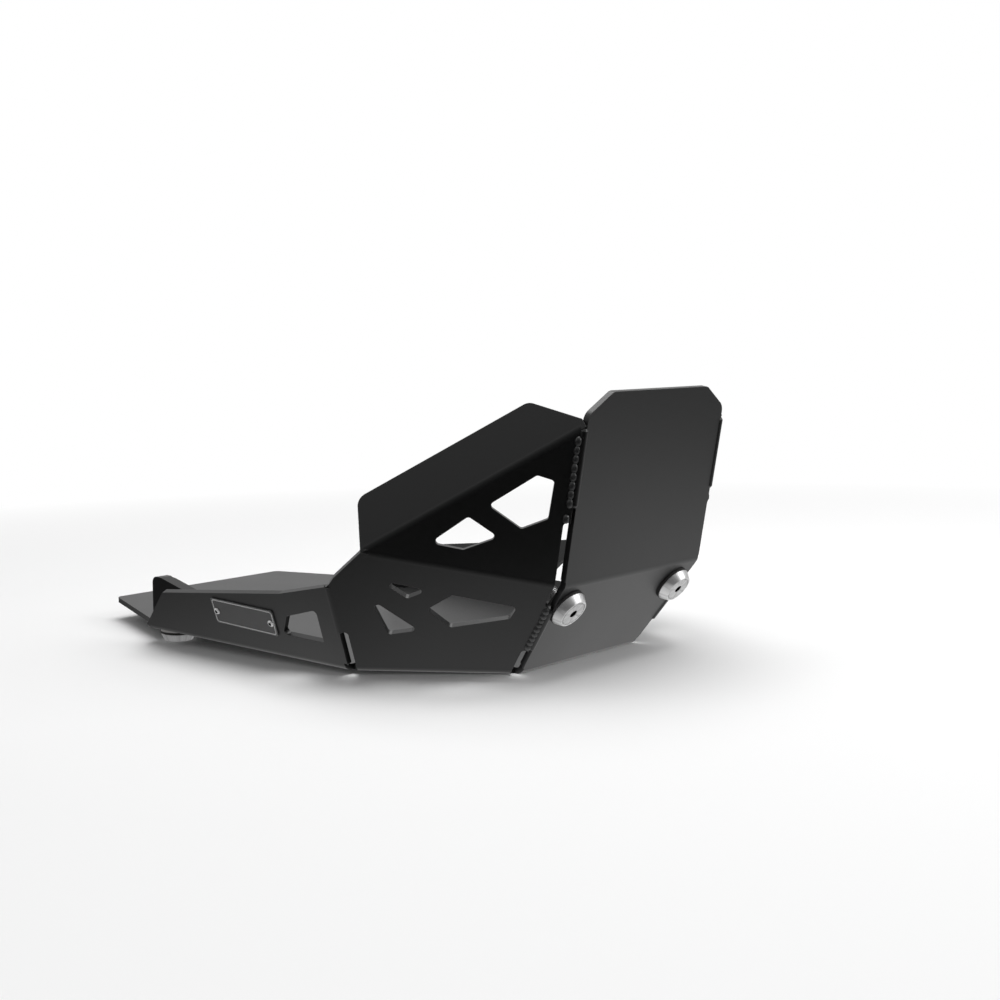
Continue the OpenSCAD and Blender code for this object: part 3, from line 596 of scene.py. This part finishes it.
def lock_nut(name, node, place):
    """A hexagon nut with chamfered corners, and its collar rolled over a nylon ring."""
    flat_r, bore_r, collar_r, hex_h = NUT_AF / 2, NUT_BORE / 2, COLLAR_D / 2, NUT_H - COLLAR_H
    corner_r = flat_r / math.cos(math.pi / 6) - 0.35
    rings = rounds((bore_r, 0.4), (bore_r + 0.4, 0), (flat_r - 0.2, 0))
    rings += [hex_ring(NUT_AF, 0.45, outside=corner_r), hex_ring(NUT_AF, 1.0),
              hex_ring(NUT_AF, hex_h - 1.0), hex_ring(NUT_AF, hex_h - 0.45, outside=corner_r)]
    rings += rounds(
        (flat_r - 0.25, hex_h), (collar_r, hex_h + 0.15), (collar_r, NUT_H - 0.8),
        (collar_r - 0.3, NUT_H - 0.2), (collar_r - 0.8, NUT_H), (ROLLED_R, NUT_H - 0.1),
        (ROLLED_R - 0.1, NUT_H - 0.5), (bore_r, NUT_H - 1.8))
    nut = settle(turned(name, rings, place, bored=True), PLATED, "plated_steel", node)
    insert = rounds(
        (bore_r - 0.05, NUT_H - 1.9), (ROLLED_R, NUT_H - 1.9), (ROLLED_R, NUT_H - 0.55),
        (bore_r + 0.2, NUT_H - 0.45), (bore_r - 0.05, NUT_H - 0.7))
    settle(turned(name + "_insert", insert, place, bored=True), NYLON, "plated_steel")
    return nut


# The rivet's bore, and how far out from its axis it gets painted shade
RIVET_BORE_R, RIVET_SHADE_R = 0.75, 1.2


def hollow_rivet(name, node, place):
    """A hollow rivet: a rolled bright rim round a bore darkened with painted shade, and its formed tail
    behind the sheet.
    """
    r, tail_r, shank_r = RIVET_HEAD_D / 2, RIVET_TAIL_D / 2, RIVET_D / 2
    top, bottom = BADGE_T + RIVET_HEAD_H, -SHEET_T - RIVET_TAIL_H
    rings = rounds(
        (shank_r, BADGE_T), (r - 0.15, BADGE_T), (r, BADGE_T + 0.2), (r - 0.1, BADGE_T + 0.55),
        (r - 0.4, BADGE_T + 0.95), (r - 0.85, top), (r - 1.2, top - 0.06), (r - 1.45, top - 0.3),
        (r - 1.6, top - 0.8), (RIVET_BORE_R, BADGE_T - 0.4), (RIVET_BORE_R, bottom + 0.2),
        (RIVET_BORE_R + 0.2, bottom), (tail_r - 0.35, bottom), (tail_r, bottom + 0.35),
        (tail_r - 0.1, -SHEET_T - 0.25), (tail_r - 0.35, -SHEET_T), (shank_r, -SHEET_T))
    rivet = turned(name, rings, place, bored=True)
    paint_bore_shade(rivet, RIVET, SOCKET_SHADE, RIVET_SHADE_R, bottom)
    return settle(rivet, RIVET, "rivet", node)


for side, sign in (("right", -1), ("left", 1)):
    front = axis_frame((FRONT_SCREW.x, sign * FRONT_SCREW.y, FRONT_SCREW.z), LOWER_OUT)
    rear = axis_frame((0, sign * REAR_SCREW_Y, 0), (0, 0, -1))
    above = axis_frame((0, sign * REAR_SCREW_Y, SHEET_T + BRACKET_T), (0, 0, 1))
    for end, place, base in (("front", front, RUBBER_T), ("rear", rear, DISC_T + RUBBER_T)):
        cone_washer(f"turned_washer_{end}_{side}", f"{end}_cone_washer_{side}", place @ shift_out(base))
        socket_screw(f"socket_screw_{end}_{side}", f"{end}_screw_{side}", place @ shift_out(base + CONE_H))
    lock_nut(f"lock_nut_{side}", f"rear_nut_{side}", above)


# Badge

flare = math.radians(FLARE)
side_x = (SIDE_REAR - SIDE_FRONT).normalized()
side_y = Vector((0, 0, math.cos(flare))) + Vector((0, 0, 1)).cross(side_x) * math.sin(flare)
side_frame = frame_at(SIDE_FRONT, side_x, side_y, side_x.cross(side_y))
# The badge's frame: x towards the rear, y down the panel, z out of it
badge_frame = (side_frame @ Matrix.Translation(Vector((BADGE_U, BADGE_V, 0)) * MM)
               @ Matrix.Rotation(math.radians(BADGE_TURN), 4, "Z") @ Matrix.Rotation(math.pi, 4, "X"))
for end, sign in (("front", -1), ("rear", 1)):
    hollow_rivet(f"hollow_rivet_{end}", f"badge_rivet_{end}",
                 badge_frame @ Matrix.Translation((sign * RIVET_SPACING / 2 * MM, 0, 0)))

# The border: its distance from the badge's edge, half its width, its rise, and the steps round a corner
BORDER_INSET, BORDER_HALF_W, BORDER_RISE, CORNER_STEPS = 1.1, 0.45, 0.15, 6


def badge_outline(inset, z):
    """The rounded outline of the badge, drawn in from its edge, as a closed path."""
    half_l, half_h, slant = BADGE_L / 2 - inset, BADGE_H / 2 - inset, BADGE_SLANT / 2
    corners = [Vector(p) for p in ((-half_l - slant, -half_h), (half_l - slant, -half_h),
                                   (half_l + slant, half_h), (-half_l + slant, half_h))]
    reach = BADGE_R + inset * 0.6
    path = []
    for i, corner in enumerate(corners):
        before, after = corners[i - 1], corners[(i + 1) % 4]
        a = corner - (corner - before).normalized() * reach
        b = corner + (after - corner).normalized() * reach
        for j in range(CORNER_STEPS + 1):
            t = j / CORNER_STEPS
            p = a * (1 - t) ** 2 + corner * 2 * t * (1 - t) + b * t ** 2
            path.append((p[0], p[1], z))
    return path + [path[0]]


border_sizes = {"Level": BORDER_HALF_W * MM, "Upright": BORDER_RISE * MM, "Material": BORDER}
border = RIDGE.grow("badge_border", badge_outline(BORDER_INSET, BADGE_T), border_sizes, badge_frame)
settle(border, BORDER, "badge")


# Welds: they stand on the wing's facets, beside the front panels' edges

def into_tray(a, b):
    """The normal of a facet of the wing that holds both directions."""
    return a.cross(b).normalized()


fold_x = (SIDE_FRONT - FRONT_FOOT).normalized()
INTO_WING_LOW = into_tray(fold_x, CORNER - FRONT_FOOT)
FOLD = FRONT_FOOT + fold_x * FOLD_U + INTO_WING_LOW.cross(fold_x) * FOLD_V
INTO_WING_MIDDLE = into_tray(FOLD - CORNER, UPPER_UP)
EDGE_UP = (CORNER - FRONT_FOOT).normalized()
# How far the drops are sunk into the facet, and set back from the corner
WELD_SINK, UPPER_BACK, TACK_BACK, LOWER_BACK = 0.6, 3.4, 4.4, 3.0
WELD_SEED = 3


def weld_path(start, along, facet, back, lengths):
    """Points along a corner, set back on the wing's facet and sunk into it."""
    rear = along.cross(facet).normalized()
    return [start + along * h + rear * back + facet * WELD_SINK for h in lengths]


def mirrored(path):
    """The same path on the left side."""
    return [(p[0], -p[1], p[2]) for p in path]


upper = weld_path(CORNER, UPPER_UP, INTO_WING_MIDDLE, UPPER_BACK, (53, 91.5))
tack = weld_path(CORNER, UPPER_UP, INTO_WING_MIDDLE, TACK_BACK, (42.5, 44))
lower = weld_path(FRONT_FOOT, EDGE_UP, INTO_WING_LOW, LOWER_BACK, (24.5, 56.5))
# Each weld: its path on the right side, then its drops' pitch, which stretches to fill the path, and their
# width, length and unevenness
WELDS = {
    "upper": (upper, 5.49, 4.4, 6.4, 0.06),
    "tack": (tack, 1.5, 4.2, 4.4, 0.06),
    "lower": (lower, 3.9, 4.4, 5.0, 0.1),
}
for offset, (side, turn) in enumerate((("right", list), ("left", mirrored))):
    for part, (path, pitch, width, length, uneven) in WELDS.items():
        sizes = {"Pitch": pitch * MM, "Width": width * MM, "Length": length * MM, "Uneven": uneven,
                 "Seed": WELD_SEED + offset, "Material": WELD_HIGHLIGHT_COAT}
        settle(WELD.grow(f"weld_{part}_{side}", turn(path), sizes), WELD_HIGHLIGHT_COAT, "powder_coat")


# Floor, light and camera, in metres

# The floor touches the rear washers' rims and rises to the outside of the front bend
FLOOR_X, FLOOR_Z = CONE_TOP_D / 2 * MM, -(DISC_T + RUBBER_T + CONE_H) * MM
FLOOR_SLOPE, FLOOR_REACH = 0.03425, 8.0
PART_MIDDLE, POOL_MIDDLE = (0.12, 0, 0), (0.34, 0.08, 0)
# The room is dark on its near side, towards the tail and towards the right
NEAR_SIDE, TAIL_SIDE, RIGHT_SIDE = (0.65, -0.75, 0), (-1, 0, 0), (0, -1, 0)
# Ramps over the floor: where they start and end, then their values up to the start and past the end
BACKDROP_RAMP = 0.45, 1.3, 0.0, 1.0
POOL_RAMP = 0.15, 0.7, 1.0, 0.25
NEAR_RAMP = 0.2, 0.47, 1.0, 0.0
TAIL_RAMP = -0.26, 0.16, 1.0, 0.4
RIGHT_RAMP = 0.12, 0.26, 0.95, 0.35
# The sky that gloss shows: the direction of its bright side, its middle, slope, darkest and brightest level
BRIGHT_SIDE = (-0.42, 0.66, 0.62)
SKY_MIDDLE, SKY_SLOPE, SKY_DARK, SKY_BRIGHT = 0.52, 0.9, 0.12, 0.75
# The sky's plain light on everything else
FILL = 0.4
# Lamps: name, place, target, side and watts
LAMPS = (
    ("overhead", (0.1, 0.3, 1.7), (0.15, 0, 0), 1.6, 26),
    ("front", (1.7, 0.9, 0.9), (0.2, 0, 0.08), 1.0, 12),
)
# Lens and sensor in millimetres
LENS, SENSOR = 52.885, 36
CAMERA_PLACE, CAMERA_AIM = (0.88714, -0.77102, 0.22296), (-0.6498, 0.7509, -0.1178)


def seen_rays(tree):
    """Masks of the rays that show the backdrop: those straight or through glass, and glossy ones."""
    path = add_node(tree, "ShaderNodeLightPath", {}, {})
    names = "Is Camera Ray", "Is Glossy Ray", "Is Transmission Ray"
    camera, glossy, through = (Num(tree, path.outputs[name]) for name in names)
    return (camera + through).least(1.0), glossy


def floor_finish():
    """Pale floor that turns into the white backdrop away from the part, and keeps its shadow near it.
    Gloss shows it black, with a pool of white beyond the part."""
    finish = Finish("floor", Base_Color=grey(0.86), Roughness=0.9, Specular_IOR_Level=0.1)
    spot = finish.place()
    straight, glossy = seen_rays(finish.tree)

    def distance(middle):
        """Metres from a point of the floor."""
        return finish.vector("DISTANCE", spot, middle, "Value")

    def along(direction):
        """How far out in a direction."""
        return finish.vector("DOT_PRODUCT", spot, direction, "Value")

    def ramp(value, start, end, before, after):
        """A value that changes evenly between start and end, and stays the same outside them."""
        return finish.node("ShaderNodeMapRange", {}, {"Value": value, "From Min": start, "From Max": end,
                                                      "To Min": before, "To Max": after})

    def mix(mask, a, b):
        """Surface a where the mask is 0 and b where it is 1."""
        return finish.node("ShaderNodeMixShader", {}, {0: mask, 1: a, 2: b})

    backdrop = ramp(distance(PART_MIDDLE), *BACKDROP_RAMP)
    pool = ramp(along(NEAR_SIDE), *NEAR_RAMP) * ramp(along(TAIL_SIDE), *TAIL_RAMP)
    pool = pool * ramp(along(RIGHT_SIDE), *RIGHT_RAMP) * ramp(distance(POOL_MIDDLE), *POOL_RAMP)
    white = finish.node("ShaderNodeEmission", {}, {"Color": grey(1), "Strength": 1.0})
    black = finish.node("ShaderNodeEmission", {}, {"Color": grey(0), "Strength": 0.0})
    lit = Num(finish.tree, finish.shader.outputs[0])
    shown = mix(straight * backdrop + glossy * pool, mix(glossy, lit, black), white)
    finish.tree.links.new(shown.socket, finish.output.inputs[0])
    return finish.material


def make_floor():
    """A flat floor, tilted so that the part stands on it."""
    corners = [(sx * FLOOR_REACH, sy * FLOOR_REACH) for sx, sy in ((-1, -1), (1, -1), (1, 1), (-1, 1))]
    mesh = bpy.data.meshes.new("floor")
    mesh.from_pydata([(x, y, FLOOR_Z + (x - FLOOR_X) * FLOOR_SLOPE) for x, y in corners], [], [(0, 1, 2, 3)])
    mesh.materials.append(floor_finish())
    floor = new_object("floor", mesh)


def make_world():
    """A white backdrop. Gloss shows it bright behind the part and darker on the near side."""
    world = bpy.data.worlds.new("studio")
    world.use_nodes = True
    bpy.context.scene.world = world
    tree = world.node_tree
    tree.nodes.clear()
    straight, glossy = seen_rays(tree)
    ray = Num(tree, add_node(tree, "ShaderNodeTexCoord", {}, {}).outputs["Generated"])
    facing = add_node(tree, "ShaderNodeVectorMath", {"operation": "DOT_PRODUCT"}, {0: ray, 1: BRIGHT_SIDE})
    sky = (Num(tree, facing.outputs["Value"]) * SKY_SLOPE + SKY_MIDDLE).most(SKY_DARK).least(SKY_BRIGHT)
    strength = straight + glossy * sky + (1 - straight - glossy) * FILL
    back = add_node(tree, "ShaderNodeBackground", {}, {"Color": grey(1), "Strength": strength})
    output = add_node(tree, "ShaderNodeOutputWorld", {}, {})
    tree.links.new(back.outputs[0], output.inputs[0])


def aimed(direction):
    """The turn of a lamp or camera that looks in a direction."""
    return Vector(direction).to_track_quat("-Z", "Y").to_euler()


def softbox(name, place, target, side, watts):
    """A square soft lamp that looks at its target."""
    light = bpy.data.lights.new(name, "AREA")
    light.shape = "SQUARE"
    light.size = side
    light.energy = watts
    lamp = new_object(name, light)
    lamp.location = place
    lamp.rotation_euler = aimed(Vector(target) - Vector(place))


def make_camera():
    """The camera at the photograph's viewing angle."""
    data = bpy.data.cameras.new("camera")
    data.lens, data.sensor_width = LENS, SENSOR
    data.clip_start, data.clip_end = 0.01, 50
    camera = new_object("camera", data)
    camera.location = CAMERA_PLACE
    camera.rotation_euler = aimed(CAMERA_AIM)
    bpy.context.scene.camera = camera


make_floor()
make_world()
for lamp in LAMPS:
    softbox(*lamp)
make_camera()
bpy.context.scene.view_settings.view_transform = "Standard"
